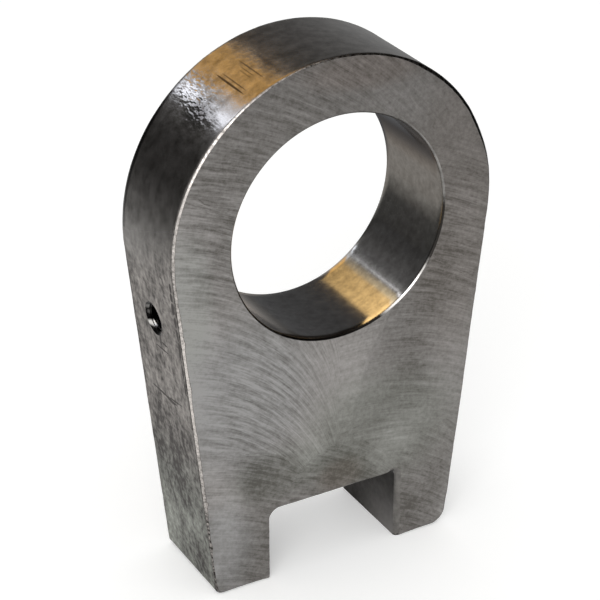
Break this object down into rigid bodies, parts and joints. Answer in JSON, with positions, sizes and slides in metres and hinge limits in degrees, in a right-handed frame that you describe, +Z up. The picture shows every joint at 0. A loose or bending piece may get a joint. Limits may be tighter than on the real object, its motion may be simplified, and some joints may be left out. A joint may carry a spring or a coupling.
{
  "type": "weld-on rod end",
  "caption": "Steel eye with a plain pin bore, a grease port in one flank and a notched foot that is welded on to a rod, tube or plate.",
  "frame": {"origin": "on the bore's axis, halfway through the thickness", "axes": "+X across the part with the grease port on the -X flank, +Y from the front face to the back face along the bore, +Z up from the weld feet to the head"},
  "size_m": [0.12, 0.037, 0.1903],
  "materials": {
    "machined_steel": "bare carbon steel: ground faces, turned head and bore, sawn flanks"
  },
  "bodies": {
    "root": {"rod_end_body": "machined_steel"}
  },
  "joints": []
}
